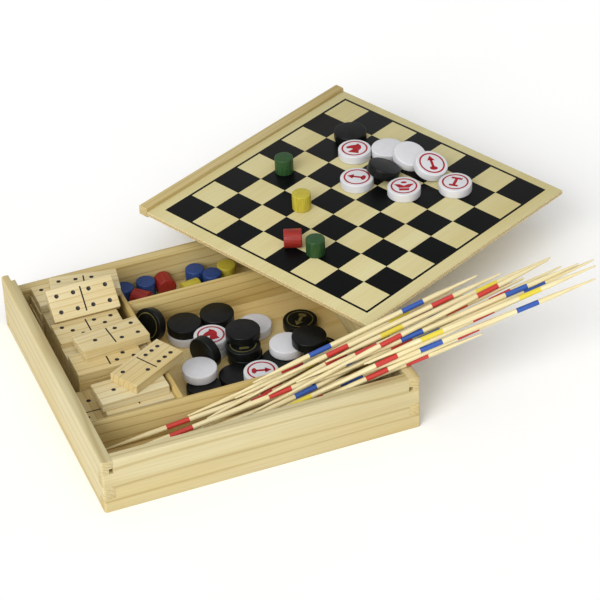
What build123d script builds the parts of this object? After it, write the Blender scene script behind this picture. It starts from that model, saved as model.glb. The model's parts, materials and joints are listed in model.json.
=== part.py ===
"""Games compendium box: a finger-jointed tray with a sliding board lid, and the pieces of four games.

Frame: millimetres, +Z up, origin at the middle of the tray's underside. X runs along the front wall
and Y towards the back wall. The lid is off its grooves and lies level across the top of the right wall.
"""
from build123d import *
from math import atan, cos, hypot, radians, sin, sqrt, tan
import os

os.makedirs("parts", exist_ok=True)

# ---------------------------------------------------------------- driving dimensions: the tray
BOX_WIDTH = 234.0           # along X, outside
BOX_DEPTH = 237.0           # along Y, outside
BOX_HEIGHT = 43.5           # front, left and right walls
WALL = 8.5                  # thickness of all four walls
FINGERS = 4                 # fingers on each corner, bottom to top
CORNER_RADIUS = 2.0         # upright outer corners
RIM_RADIUS = 1.2            # top edges of the walls, outside
FLOOR_PLY = 5.0             # thickness of the bottom panel
FLOOR_REBATE = 3.0          # depth of the rebate that holds the bottom panel, flush below
FLOOR_FIT = 0.15            # clearance between panel and rebate, each way
LID_GROOVE_Z = 33.0         # bottom of the groove that the lid slides in
LID_GROOVE_DEPTH = 3.0
LID_PLY = 3.4               # thickness of the lid panel
LID_FIT = 0.3               # clearance round the lid in its grooves
RAIL_DROP = 1.5             # the lid's rail below the panel
RAIL_RISE = 3.0             # the lid's rail above the panel
RAIL_RADIUS = 1.2           # rounded upper outer edge of the rail
DIVIDER = 3.5               # thickness of the three dividers
DIVIDER_TOP = 31.5          # top edge of the dividers
FRONT_BAY = 49.7            # clear depth of the front compartment
LEFT_BAY = 68.3             # clear width of the left compartment
BACK_BAY = 44.0             # clear depth of the back right compartment

# ---------------------------------------------------------------- driving dimensions: the pieces
TILE_LENGTH = 50.0          # dominoes
TILE_WIDTH = 25.0
TILE = 7.2
MAN_DIAMETER = 25.5         # round men
MAN = 7.3
PAWN_DIAMETER = 14.4        # pawns
PAWN = 13.6
PAWN_SIDES = 36             # narrow flats that stand for the round
SQUARE = 25.0               # one square of the board on the lid
MAN_LEAN = 20.0             # tilt of a man that leans on another one, in degrees
STICK_DIAMETER = 3.8        # pick-up sticks
STICK_LENGTH = 180.0
STICK_TAPER = 34.0          # length of each pointed end
STICK_TIP = 1.2             # diameter at the very end
STICK_SIDES = 8             # narrow flats that stand for the round
STICK_PITCH = 3.85          # from one layer of sticks to the next
TOUCH = 0.05                # free gap between pieces that only touch

# ---------------------------------------------------------------- derived places
INNER_X = BOX_WIDTH / 2 - WALL
INNER_Y = BOX_DEPTH / 2 - WALL
FINGER = BOX_HEIGHT / FINGERS
FLOOR_TOP = FLOOR_PLY
LID_CLOSED_Z = LID_GROOVE_Z + LID_FIT
LID_GROOVE_HEIGHT = LID_PLY + 2 * LID_FIT
BACK_HEIGHT = LID_CLOSED_Z - RAIL_DROP - LID_FIT
LID_WIDTH = 2 * (INNER_X + LID_GROOVE_DEPTH - LID_FIT)
LID_LENGTH = BOX_DEPTH - WALL + LID_GROOVE_DEPTH - LID_FIT
FRONT_DIVIDER_Y = -INNER_Y + FRONT_BAY
FRONT_BAY_BACK = FRONT_DIVIDER_Y + DIVIDER
CROSS_DIVIDER_X = -INNER_X + LEFT_BAY
RIGHT_BAY_LEFT = CROSS_DIVIDER_X + DIVIDER
REAR_DIVIDER_Y = INNER_Y - BACK_BAY - DIVIDER


def write(builder, name):
    """Label a finished piece and write its STEP file."""
    builder.part.label = name
    export_step(builder.part, f"parts/{name}.step")


# ================================================================ the tray
def envelope():
    """The tray's outer block with its rounded corners and rim, which every wall is cut from."""
    with BuildPart() as block:
        with BuildSketch(Plane.XY):
            RectangleRounded(BOX_WIDTH, BOX_DEPTH, CORNER_RADIUS)
        extrude(amount=BOX_HEIGHT)
        fillet(block.faces().sort_by(Axis.Z)[-1].outer_wire().edges(), RIM_RADIUS)
    return block.part


def corner_slots(levels, x, y, length_x, length_y, top):
    """Cut the given finger levels out of a wall's end, for the other wall's fingers."""
    for level in levels:
        low = level * FINGER
        high = min(low + FINGER, top)
        with Locations((x, y, low)):
            Box(length_x, length_y, high - low, align=(Align.CENTER, Align.CENTER, Align.MIN),
                mode=Mode.SUBTRACT)


def floor_rebate():
    """The rebate all round, open below, that the bottom panel's edge sits in."""
    Box(2 * (INNER_X + FLOOR_REBATE), 2 * (INNER_Y + FLOOR_REBATE), FLOOR_PLY,
        align=(Align.CENTER, Align.CENTER, Align.MIN), mode=Mode.SUBTRACT)


BLOCK = envelope()
END_X = BOX_WIDTH / 2 - WALL / 2
END_Y = BOX_DEPTH / 2 - WALL / 2

for side, name in ((-1, "left_wall"), (1, "right_wall")):
    with BuildPart() as wall:
        add(BLOCK)
        with Locations((side * END_X, 0, 0)):
            Box(WALL, BOX_DEPTH, BOX_HEIGHT, align=(Align.CENTER, Align.CENTER, Align.MIN),
                mode=Mode.INTERSECT)
        corner_slots((0, 2), side * END_X, -END_Y, WALL, WALL, BOX_HEIGHT)
        corner_slots((0, 2), side * END_X, END_Y, WALL, WALL, BACK_HEIGHT)
        floor_rebate()
        # the lid's groove runs out through both ends, and the rail's end sits in a rebate at the back
        with Locations((side * INNER_X, 0, LID_GROOVE_Z)):
            Box(2 * LID_GROOVE_DEPTH, BOX_DEPTH, LID_GROOVE_HEIGHT,
                align=(Align.CENTER, Align.CENTER, Align.MIN), mode=Mode.SUBTRACT)
        with Locations((side * INNER_X, END_Y, BACK_HEIGHT)):
            Box(2 * LID_GROOVE_DEPTH, WALL, BOX_HEIGHT - BACK_HEIGHT,
                align=(Align.CENTER, Align.CENTER, Align.MIN), mode=Mode.SUBTRACT)
    write(wall, name)

with BuildPart() as front_wall:
    add(BLOCK)
    with Locations((0, -END_Y, 0)):
        Box(BOX_WIDTH, WALL, BOX_HEIGHT, align=(Align.CENTER, Align.CENTER, Align.MIN),
            mode=Mode.INTERSECT)
    for side in (-1, 1):
        corner_slots((1, 3), side * END_X, -END_Y, WALL, WALL, BOX_HEIGHT)
    floor_rebate()
    with Locations((0, -INNER_Y, LID_GROOVE_Z)):
        Box(2 * INNER_X, 2 * LID_GROOVE_DEPTH, LID_GROOVE_HEIGHT,
            align=(Align.CENTER, Align.CENTER, Align.MIN), mode=Mode.SUBTRACT)
write(front_wall, "front_wall")

with BuildPart() as back_wall:
    with BuildSketch(Plane.XY):
        RectangleRounded(BOX_WIDTH, BOX_DEPTH, CORNER_RADIUS)
    extrude(amount=BACK_HEIGHT)
    with Locations((0, END_Y, 0)):
        Box(BOX_WIDTH, WALL, BOX_HEIGHT, align=(Align.CENTER, Align.CENTER, Align.MIN),
            mode=Mode.INTERSECT)
    for side in (-1, 1):
        corner_slots((1,), side * END_X, END_Y, WALL, WALL, BACK_HEIGHT)
    floor_rebate()
write(back_wall, "back_wall")

with BuildPart() as bottom_panel:
    with BuildSketch(Plane.XY):
        Rectangle(2 * (INNER_X + FLOOR_REBATE - FLOOR_FIT), 2 * (INNER_Y + FLOOR_REBATE - FLOOR_FIT))
    extrude(amount=FLOOR_PLY)
write(bottom_panel, "bottom_panel")


def divider(name, x_from, x_to, y_from, y_to):
    """A thin upright strip that stands on the bottom panel, with its top edges eased."""
    with BuildPart() as strip:
        with BuildSketch(Plane.XY.offset(FLOOR_TOP)):
            with Locations(((x_from + x_to) / 2, (y_from + y_to) / 2)):
                Rectangle(x_to - x_from, y_to - y_from)
        extrude(amount=DIVIDER_TOP - FLOOR_TOP)
        long_axis = Axis.X if x_to - x_from > y_to - y_from else Axis.Y
        top = strip.faces().sort_by(Axis.Z)[-1]
        chamfer(top.edges().filter_by(long_axis), DIVIDER / 8)
    write(strip, name)


divider("front_divider", -INNER_X, INNER_X, FRONT_DIVIDER_Y, FRONT_BAY_BACK)
divider("cross_divider", CROSS_DIVIDER_X, RIGHT_BAY_LEFT, FRONT_BAY_BACK, INNER_Y)
divider("rear_divider", RIGHT_BAY_LEFT, INNER_X, REAR_DIVIDER_Y, REAR_DIVIDER_Y + DIVIDER)

# ================================================================ the lid
LID_TURN = -64.0            # the lid's long way, away from its rail, turned from the X axis
LID_CORNER = (INNER_X - 105.0, INNER_Y + 45.6)      # outer corner of the rail at its left end
lid_plane = Plane(origin=(*LID_CORNER, BOX_HEIGHT), z_dir=(0, 0, 1),
                  x_dir=(cos(radians(LID_TURN)), sin(radians(LID_TURN)), 0))

with BuildPart() as lid_panel:
    with BuildSketch(lid_plane):
        with Locations(((WALL + LID_LENGTH) / 2, LID_WIDTH / 2)):
            Rectangle(LID_LENGTH - WALL, LID_WIDTH)
    extrude(amount=LID_PLY)
write(lid_panel, "lid_panel")

with BuildPart() as lid_rail:
    with BuildSketch(lid_plane.offset(-RAIL_DROP)):
        with Locations((WALL / 2, LID_WIDTH / 2)):
            Rectangle(WALL, LID_WIDTH)
    extrude(amount=RAIL_DROP + LID_PLY + RAIL_RISE)
    along = Axis(origin=lid_plane.origin, direction=lid_plane.y_dir)
    upper = lid_rail.faces().sort_by(Axis.Z)[-1].edges().filter_by(along)
    fillet(upper, RAIL_RADIUS)
write(lid_rail, "lid_rail")


# ================================================================ loose pieces: helpers
def turned(x, y, z, yaw):
    """A level plane whose X axis is turned by yaw degrees."""
    return Plane(origin=(x, y, z), x_dir=(cos(radians(yaw)), sin(radians(yaw)), 0), z_dir=(0, 0, 1))


def group(name, shape, planes):
    """Write one node that holds a copy of the shape at every plane."""
    with BuildPart() as pieces:
        with Locations(*planes):
            add(shape)
    write(pieces, name)


# ================================================================ dominoes
with BuildPart() as tile_blank:
    Box(TILE_LENGTH, TILE_WIDTH, TILE)
TILE_BLANK = tile_blank.part

# places of the rows in the left compartment, from the back wall to the front divider
ROW_X = -INNER_X + 35.5                         # middle of the rows
ROW_BACK_Y = INNER_Y - 1.0 - TILE_WIDTH / 2     # row against the back wall
ROW_SECOND_Y = ROW_BACK_Y - TILE_WIDTH - 0.5
ROW_THIRD_Y = ROW_SECOND_Y - TILE_WIDTH - 0.3
EDGE_FIRST_Y = ROW_THIRD_Y - TILE_WIDTH / 2 - 0.1 - TILE / 2
EDGE_SECOND_Y = EDGE_FIRST_Y - TILE
ROW_FOURTH_Y = EDGE_SECOND_Y - TILE / 2 - 0.2 - TILE_WIDTH / 2
SIDE_TILE_X = CROSS_DIVIDER_X - TOUCH - TILE / 2
FRONT_ROW_Y = FRONT_BAY_BACK + 0.1 + TILE_WIDTH / 2


def level(layer):
    """Height of the middle of a flat tile in a stack, counting from the bottom panel."""
    return FLOOR_TOP + TILE * (layer + 0.5)


flat_tiles = []
for layer in range(4):
    flat_tiles.append((ROW_X - 3 + layer, ROW_BACK_Y, layer, 0))
for layer in range(3):
    flat_tiles.append((ROW_X + 1, ROW_SECOND_Y, layer, 0))
for layer in range(4):
    flat_tiles.append((ROW_X, ROW_THIRD_Y, layer, 0))
for layer in range(4):
    flat_tiles.append((ROW_X + 0.3, ROW_FOURTH_Y, layer, 0))
flat_tiles.append((ROW_X - 5, FRONT_ROW_Y, 0, 0))
flat_tiles.append((ROW_X - 5, FRONT_ROW_Y + TILE_WIDTH + 0.1, 0, 0))
flat_tiles.append((ROW_X + 7.4, FRONT_BAY_BACK + 20.3, 2, 0))
flat_tiles.append((ROW_X + 5.2, FRONT_BAY_BACK + 24.8, 3, 2))
BACK_TOP = (ROW_X + 11.1, ROW_BACK_Y - 8, 4, -10)           # the leaning tile lies against it
flat_tiles.append(BACK_TOP)
flat_tiles.append((ROW_X + 8.7, EDGE_SECOND_Y - 2.5, 4, 6))
flat_tiles.append((ROW_X + 22, FRONT_BAY_BACK + 35.8, 4, 30))  # overhangs the cross divider

tile_planes = [turned(x, y, level(layer), yaw) for x, y, layer, yaw in flat_tiles]

# two tiles crosswise on the front pair, their long way along Y
for x in (ROW_X - 22.5, ROW_X + 3.5):
    tile_planes.append(turned(x, FRONT_BAY_BACK + 0.2 + TILE_LENGTH / 2, level(1), 90))

# tiles that stand on a long edge
standing_z = FLOOR_TOP + TILE_WIDTH / 2
for y in (EDGE_FIRST_Y, EDGE_SECOND_Y):
    tile_planes.append(Plane(origin=(ROW_X, y, standing_z), x_dir=(1, 0, 0), z_dir=(0, -1, 0)))
tile_planes.append(Plane(origin=(SIDE_TILE_X, EDGE_SECOND_Y - 3.3, standing_z), x_dir=(0, 1, 0),
                         z_dir=(-1, 0, 0)))

# one tile leans about its long way, between the third row's edge and the tile on the back row
LEAN = radians(40)
lean_x = ROW_X + 3
ridge = (ROW_THIRD_Y + TILE_WIDTH / 2, level(3) + TILE / 2)
back_x, back_y, back_layer, back_yaw = BACK_TOP
back_edge_y = back_y - TILE_WIDTH / 2 / cos(radians(back_yaw))
back_edge_y += (lean_x + TILE_LENGTH / 2 - back_x) * sin(radians(back_yaw)) / cos(radians(back_yaw))
rest = (back_edge_y, level(back_layer) + TILE / 2)
up_slope = (cos(LEAN), sin(LEAN))
off_slope = (-sin(LEAN), cos(LEAN))
foot = ridge[0] * up_slope[0] + ridge[1] * up_slope[1] + TOUCH * 2
base = rest[0] * off_slope[0] + rest[1] * off_slope[1] + TOUCH * 2
along_up = foot + TILE_WIDTH / 2
along_off = base + TILE / 2
lean_y = along_up * up_slope[0] + along_off * off_slope[0]
lean_z = along_up * up_slope[1] + along_off * off_slope[1]
tile_planes.append(Plane(origin=(lean_x, lean_y, lean_z), x_dir=(1, 0, 0),
                         z_dir=(0, off_slope[0], off_slope[1])))

for number, plane in enumerate(tile_planes, start=1):
    group(f"domino_{number:02d}", TILE_BLANK, [plane])

# ================================================================ round men in the tray
with BuildPart() as man_blank:
    Cylinder(MAN_DIAMETER / 2, MAN, align=(Align.CENTER, Align.CENTER, Align.MIN))
MAN_BLANK = man_blank.part


def man_level(layer):
    """Height of the underside of a man in a stack, counting from the bottom panel."""
    return FLOOR_TOP + (MAN + TOUCH) * layer


def leaning_man(x, y, normal):
    """Plane of a man that stands on its rim: its face looks along normal, its rim is on the floor."""
    nx, ny, nz = normal
    size = sqrt(nx * nx + ny * ny + nz * nz)
    rise = MAN_DIAMETER / 2 * hypot(nx, ny) / size + MAN / 2 * abs(nz) / size
    middle = Vector(x, y, FLOOR_TOP + TOUCH + rise)
    face = Vector(nx, ny, nz) / size
    return Plane(origin=middle - face * (MAN / 2), z_dir=face)


def in_middle_bay(x, y, layer):
    """A level place for a man, from the middle compartment's front left corner."""
    return Plane(origin=(RIGHT_BAY_LEFT + x, FRONT_BAY_BACK + y, man_level(layer)))


black_men = [(33.9, 97.1, 1), (59.9, 98.8, 1), (65.2, 54.3, 0), (64.2, 54.8, 1), (67.2, 62.8, 2),
             (24.7, 29.8, 0), (50.5, 32.8, 0), (85.7, 38.3, 0), (114.7, 28.8, 0), (114.7, 28.8, 1),
             (108.4, 36.1, 2)]
white_men = [(33.9, 97.1, 0), (59.9, 98.8, 0), (83.7, 83.8, 0), (46.7, 74.8, 0), (46.7, 74.8, 1),
             (26.1, 41.8, 1), (70.7, 15.8, 0), (65.2, 20.3, 1), (93.7, 43.8, 1)]
black_planes = [in_middle_bay(*place) for place in black_men]
black_planes.append(leaning_man(RIGHT_BAY_LEFT + 36.4, FRONT_BAY_BACK + 58.3, (0.891, 0.454, 0)))
black_planes.append(leaning_man(RIGHT_BAY_LEFT + 10.5, REAR_DIVIDER_Y - 13.2, (-0.82, -0.45, 0.35)))
group("black_men", MAN_BLANK, black_planes)
group("white_men", MAN_BLANK, [in_middle_bay(*place) for place in white_men])
group("black_man_by_lid", MAN_BLANK, [in_middle_bay(116.2, 75.3, 0)])

# ================================================================ pawns in the tray
with BuildPart() as pawn_blank:
    with BuildSketch(Plane.XY.offset(-PAWN / 2)):
        RegularPolygon(PAWN_DIAMETER / 2, PAWN_SIDES)
    extrude(amount=PAWN)
PAWN_BLANK = pawn_blank.part


def standing_pawn(wall_x, x, y):
    """Plane of a pawn that stands on its end: x from the given wall's face, y from the back wall's."""
    return Plane(origin=(wall_x + x, INNER_Y - y, FLOOR_TOP + PAWN / 2))


def lying_pawn(wall_x, x, y, yaw):
    """Plane of a pawn that lies on its side, its axis turned by yaw degrees."""
    return Plane(origin=(wall_x + x, INNER_Y - y, FLOOR_TOP + TOUCH + PAWN_DIAMETER / 2),
                 z_dir=(cos(radians(yaw)), sin(radians(yaw)), 0))


LEFT = RIGHT_BAY_LEFT
RIGHT = INNER_X
group("pawns_blue_left", PAWN_BLANK, [standing_pawn(LEFT, 8.1, 8.5), standing_pawn(LEFT, 25.2, 7.5)])
group("pawns_red_left", PAWN_BLANK, [lying_pawn(LEFT, 17.2, 20, -45), lying_pawn(LEFT, 39.7, 8.5, 90)])
group("pawns_blue_right", PAWN_BLANK, [standing_pawn(LEFT, 64.2, 7.5), standing_pawn(LEFT, 74.2, 18)])
group("pawns_yellow_right", PAWN_BLANK, [lying_pawn(LEFT, 55.7, 23.5, 10), standing_pawn(LEFT, 87.7, 12.5)])
group("pawn_red_under_lid", PAWN_BLANK, [lying_pawn(RIGHT, -9.5, 26, 80)])
group("pawn_yellow_under_lid", PAWN_BLANK, [standing_pawn(RIGHT, -24.5, 11)])
group("pawns_green_under_lid", PAWN_BLANK, [standing_pawn(RIGHT, -9, 8.5), lying_pawn(RIGHT, -28.5, 32, 20)])

# ================================================================ men and pawns on the lid
GRID_FROM_RAIL = 19.0       # the board's first line, from the rail's outer edge
GRID_FROM_SIDE = 12.9       # the board's first line, from the lid's left edge


def on_lid(u, v, up=0.0):
    """A point on the lid, in squares from the board's corner: u away from the rail, v along it."""
    across = GRID_FROM_SIDE + v * SQUARE
    return lid_plane.from_local_coords((GRID_FROM_RAIL + u * SQUARE, across, LID_PLY + up))


def leans_on(u, v, heading, number=1):
    """A man that leans on a flat one at (u, v): its low edge on the board, its underside on the other's rim.

    The row falls away from the flat man by heading degrees from u, and number counts the men in it.
    """
    tilt = radians(MAN_LEAN)
    radius = MAN_DIAMETER / 2
    reach = radius + (MAN + TOUCH) / tan(tilt) - radius * cos(tilt) + (number - 1) * (MAN + TOUCH) / sin(tilt)
    along_u = cos(radians(heading))
    along_v = sin(radians(heading))
    middle = on_lid(u + reach * along_u / SQUARE, v + reach * along_v / SQUARE, radius * sin(tilt) + TOUCH)
    slope = lid_plane.x_dir * along_u + lid_plane.y_dir * along_v
    return Plane(origin=middle, z_dir=lid_plane.z_dir * cos(tilt) + slope * sin(tilt))


FLAT_WHITE = (3.12, 6.49)   # two more white men lean on this one
NEAR_WHITE = (3.49, 4.64)   # a black man leans on this one
white_places = [(2.38, 5.78), NEAR_WHITE, (4.92, 5.18), (5.97, 6.34), FLAT_WHITE]
white_on_lid = [Plane(origin=on_lid(u, v)) for u, v in white_places]
white_on_lid.append(leans_on(*FLAT_WHITE, 0))
white_on_lid.append(leans_on(*FLAT_WHITE, 0, number=2))
group("white_men_on_lid", MAN_BLANK, white_on_lid)
group("black_men_on_lid", MAN_BLANK, [Plane(origin=on_lid(1.6, 6.45)), leans_on(*NEAR_WHITE, 64)])
group("pawns_green_on_lid", PAWN_BLANK,
      [Plane(origin=on_lid(u, v, PAWN / 2)) for u, v in ((1.28, 3.76), (4.96, 1.16))])
group("pawn_yellow_on_lid", PAWN_BLANK, [Plane(origin=on_lid(3.04, 2.64, PAWN / 2))])
lying = on_lid(4.2, 1, PAWN_DIAMETER / 2 + TOUCH)
group("pawn_red_on_lid", PAWN_BLANK, [Plane(origin=lying, z_dir=(cos(radians(-20)), sin(radians(-20)), 0))])

# ================================================================ pick-up sticks
with BuildPart() as stick_blank:
    for distance, diameter in ((0, STICK_TIP), (STICK_TAPER, STICK_DIAMETER),
                               (STICK_LENGTH - STICK_TAPER, STICK_DIAMETER), (STICK_LENGTH, STICK_TIP)):
        with BuildSketch(Plane.YZ.offset(distance)):
            RegularPolygon(diameter / 2, STICK_SIDES)
    loft(ruled=True)
STICK_BLANK = stick_blank.part

# the heap is a slope of parallel layers that starts at the compartment's left end and leaves over the
# right wall: each stick is (x of its right tip from the left wall, y of it from the front wall, layer,
# turn in degrees, colour)
SLOPE = atan((BOX_HEIGHT - FLOOR_TOP) / (2 * INNER_X - 3))
sticks = [
    (185.5, 32, 0, -5, "red"), (208.5, 23, 0, -4, "blue"), (184.5, 18, 0, -3.5, "yellow"),
    (233.5, 11, 0, -2.5, "blue"), (278.5, 4, 0, -2, "red"), (248.5, 46, 0, 0, "yellow"),
    (256.5, 54, 1, 7.5, "blue"), (244.5, 42, 1, 6, "red"), (287.5, 34, 1, 5, "blue"),
    (198.5, 20.5, 1, 4.5, "blue"), (268.5, 18, 1, 4, "yellow"), (321.5, 8, 1, 1.8, "red"),
    (276.5, 50, 2, 4, "red"), (280.5, 41, 2, 2, "blue"), (322.5, 32, 2, 2, "yellow"),
    (184.5, 20, 2, -2, "red"), (331.5, 13, 2, -1.5, "blue"), (364.5, 2, 2, -1.2, "blue"),
    (284.5, 50, 3, 8, "yellow"), (298.5, 43, 3, 7.4, "red"), (309.5, 34, 3, 7, "blue"),
    (348.5, 24, 3, 4, "red"), (370.5, 17, 3, 2.5, "blue"), (331.5, 11.2, 3, 3, "red"),
    (293.5, 46, 4, 4, "blue"), (308.5, 38, 4, 3.5, "red"), (344.5, 33, 4, 3, "yellow"),
    (319.5, 24, 4, 2.5, "red"), (357.5, 15, 4, 0.5, "blue"), (366.5, 6, 4, 0, "yellow"),
    (339.5, 27, 5, 6, "red"),
]


def stick_plane(tip_x, tip_y, layer, turn):
    """Plane at a stick's left end, its X axis along the stick, lying in its layer of the slope."""
    heading = Vector(cos(radians(turn)), sin(radians(turn)), cos(radians(turn)) * tan(SLOPE))
    heading = heading.normalized()
    lift = (STICK_DIAMETER / 2 + TOUCH + layer * STICK_PITCH) / cos(SLOPE)
    tip_z = BOX_HEIGHT + lift + (tip_x - 2 * INNER_X) * tan(SLOPE)
    tip = Vector(tip_x - INNER_X, tip_y - INNER_Y, tip_z)
    return Plane(origin=tip - heading * STICK_LENGTH, x_dir=heading, z_dir=(-sin(SLOPE), 0, cos(SLOPE)))


for colour in ("red", "blue", "yellow"):
    group(f"sticks_{colour}", STICK_BLANK,
          [stick_plane(x, y, layer, turn) for x, y, layer, turn, name in sticks if name == colour])
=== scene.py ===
# %% [markdown]
# # A games compendium box, dressed piece by piece
# The model has a finger-jointed pine tray, a sliding plywood lid with a draughts board printed on it, and
# the pieces of four games: dominoes, round men, pawns and pick-up sticks. The solids are already in place.
# This lesson gives each of them its real edges, its printed marks and its finish.
# Everything is worked out in millimetres, and a mesh is written in metres.

# %% Load the frame and note its box
import json
import math

import bmesh
import bpy
import numpy as np
from mathutils import Matrix


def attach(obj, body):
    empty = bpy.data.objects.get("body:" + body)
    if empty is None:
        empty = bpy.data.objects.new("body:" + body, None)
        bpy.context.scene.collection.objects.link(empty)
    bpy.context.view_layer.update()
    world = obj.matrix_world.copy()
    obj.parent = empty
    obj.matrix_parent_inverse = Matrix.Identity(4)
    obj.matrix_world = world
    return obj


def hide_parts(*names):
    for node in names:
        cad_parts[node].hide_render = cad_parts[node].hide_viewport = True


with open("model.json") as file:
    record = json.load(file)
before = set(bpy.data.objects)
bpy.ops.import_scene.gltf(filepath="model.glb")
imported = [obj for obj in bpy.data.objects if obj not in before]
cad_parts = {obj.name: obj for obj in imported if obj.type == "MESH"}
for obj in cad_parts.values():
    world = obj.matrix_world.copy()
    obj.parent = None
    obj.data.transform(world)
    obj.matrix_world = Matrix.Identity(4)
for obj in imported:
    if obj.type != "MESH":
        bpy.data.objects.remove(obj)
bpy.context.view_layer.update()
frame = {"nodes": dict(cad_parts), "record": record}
NODES = frame["nodes"]

# %% [markdown]
# ## Camera
# A long lens keeps the tray's edges nearly parallel. The camera looks down by 36 degrees from the front
# left. Its three axes could be set with a tracking constraint, but a matrix built from the viewing
# direction says the same thing in one line and can't drift.

# %% Camera
LENS = 168.6  # mm, on a sensor 36 mm wide
FAR = 20.0  # m, how far the camera sees
PLACE = np.array([-482.5, -1540.8, 1243.9])  # mm
FORWARD = np.array([0.2738, 0.7588, -0.5910])
RIGHT = np.array([0.9307, -0.3640, -0.0361])

X, Y, Z = np.eye(3)
scene = bpy.context.scene


def unit(vector):
    """A vector divided by its length."""
    return np.asarray(vector, float) / np.linalg.norm(vector)


def aim(right, forward):
    """Axes of a camera or lamp as columns: X is right, Z is backwards, and Y is Z cross X."""
    back = -unit(forward)
    side = unit(np.array(right) - back * np.dot(right, back))
    return np.column_stack([side, np.cross(back, side), back])


def put(name, data):
    """A new object in the scene, at the origin."""
    item = bpy.data.objects.new(name, data)
    scene.collection.objects.link(item)
    return item


def stand(name, data, axes, place=(0.0, 0.0, 0.0)):
    """An object for a camera or a lamp, from its axes as columns and its place in mm."""
    matrix = np.eye(4)
    matrix[:3, :3] = axes
    matrix[:3, 3] = np.array(place) / 1000
    item = put(name, data)
    item.matrix_world = Matrix(matrix.tolist())
    return item


camera_data = bpy.data.cameras.new("camera")
camera_data.lens = LENS
camera_data.clip_end = FAR
scene.camera = stand("camera", camera_data, aim(RIGHT, FORWARD), PLACE)
print("lens", LENS, "mm")

# %% [markdown]
# ## Light
# A studio shot of a small wooden toy has one large soft source and a bright room round it. A white world
# gives the room. The source could be an area lamp, but its light fades across the paper sweep and greys
# its far end. A sun lamp with a very wide disc is just as soft and falls evenly everywhere. It stands low
# at the front left, because walls that are brighter than the rims above them need light from the side. A
# weaker one stands higher, at the front, and reaches into the compartments.

# %% World and lamps
ROOM = 0.52  # how bright the white room is

scene.view_settings.view_transform = "Standard"
world = bpy.data.worlds.new("studio")
world.use_nodes = True
room = world.node_tree.nodes["Background"]
room.inputs["Color"].default_value = (1.0, 1.0, 1.0, 1.0)
room.inputs["Strength"].default_value = ROOM
scene.world = world


def soft_sun(name, direction, width, strength):
    """A sun lamp that shines along a direction; width is the angle of its disc in degrees."""
    data = bpy.data.lights.new(name, "SUN")
    data.angle = math.radians(width)
    data.energy = strength
    stand(name, data, aim(np.cross(direction, Z), direction))


soft_sun("key", direction=(0.72, 0.52, -0.5), width=45.0, strength=2.1)
soft_sun("fill", direction=(0.2, 0.6, -0.77), width=60.0, strength=0.8)

# %% [markdown]
# ## Two small tools for materials
# Paint charts give colours as sRGB hex values, while a shader wants linear light, so one function turns
# them. A second one adds any node: values without a name fill its sockets in order, names with a capital
# are sockets, and other names are settings. A node that is given as a value gets linked. Setting up each
# node by hand would take five lines; this way a material reads as a list of what it is made of.

# %% Colour and node helpers
def linear(hex_value):
    """sRGB hex to linear RGBA: c / 12.92 below 0.04045, else ((c + 0.055) / 1.055) to the power 2.4."""
    parts = np.array([int(hex_value[i:i + 2], 16) / 255 for i in (0, 2, 4)])
    light = np.where(parts <= 0.04045, parts / 12.92, ((parts + 0.055) / 1.055) ** 2.4)
    return (*light.tolist(), 1.0)


def add(tree, kind, *values, stops=(), **named):
    """Add one node, set it up and link it. Stops are the (position, hex colour) pairs of a colour ramp."""
    node = tree.nodes.new("ShaderNode" + kind)
    for name, value in named.items():
        if name[0].islower():
            setattr(node, name, value)
    pairs = list(zip([socket for socket in node.inputs if socket.enabled], values))
    pairs += [(node.inputs[name.replace("_", " ")], value)
              for name, value in named.items() if name[0].isupper()]
    for socket, value in pairs:
        if isinstance(value, bpy.types.Node):
            value = next(output for output in value.outputs if output.enabled)
        if isinstance(value, bpy.types.NodeSocket):
            tree.links.new(value, socket)
        else:
            socket.default_value = value
    for number, (position, colour) in enumerate(stops):
        if number >= 2:  # a new ramp has two stops already
            node.color_ramp.elements.new(1.0)
        node.color_ramp.elements[number].position = position
        node.color_ramp.elements[number].color = linear(colour)
    return node


def blank_material(name):
    """A new material and its empty node tree."""
    material = bpy.data.materials.new(name)
    material.use_nodes = True
    material.node_tree.nodes.clear()
    return material, material.node_tree


print("mid grey is", round(linear("808080")[0], 3), "in linear light")

# %% [markdown]
# ## Paper sweep
# The box stands on a wide sheet of matt white paper. A sweep that curves up at the back would hide the
# horizon, but from this height the camera sees none, so a flat sheet is enough. Its clouds are so faint
# that they only keep it from looking painted.

# %% Paper sweep
SHEET = 6.0  # m, half the width of the sheet
CLOUDS_PER_METRE = 6.0

PAPER, tree = blank_material("matt_paper_sweep")
where = add(tree, "TexCoord").outputs["Object"]
clouds = add(tree, "TexNoise", where, Scale=CLOUDS_PER_METRE, Detail=2.0)
tint = add(tree, "ValToRGB", clouds, stops=[(0.3, "fbfbfa"), (0.7, "fdfdfc")])
add(tree, "OutputMaterial", add(tree, "BsdfPrincipled", tint, Roughness=0.9))
corners = [(-SHEET, -SHEET, 0), (SHEET, -SHEET, 0), (SHEET, SHEET, 0), (-SHEET, SHEET, 0)]
floor_mesh = bpy.data.meshes.new("floor")
floor_mesh.from_pydata(corners, [], [(0, 1, 2, 3)])
floor_mesh.materials.append(PAPER)
floor = put("floor", floor_mesh)
print("sheet is", 2 * SHEET, "m wide")

# %% [markdown]
# ## Where the pieces lie
# Each loose piece already lies somewhere in the frame, so its place is read from its solid. A solid is a
# cloud of corner points. Their mean is its centre, and the directions of largest and smallest spread are
# its axes, which is a principal component analysis. Writing the places down again would be shorter, but
# then a piece could drift from its solid.

# %% Read solids and their axes
def points_of(mesh, scale=1000.0):
    """The points of a mesh in mm, one per row; scale turns the mesh's own unit into mm."""
    points = np.empty(len(mesh.vertices) * 3)
    mesh.vertices.foreach_get("co", points)
    return points.reshape(-1, 3) * scale


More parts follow.
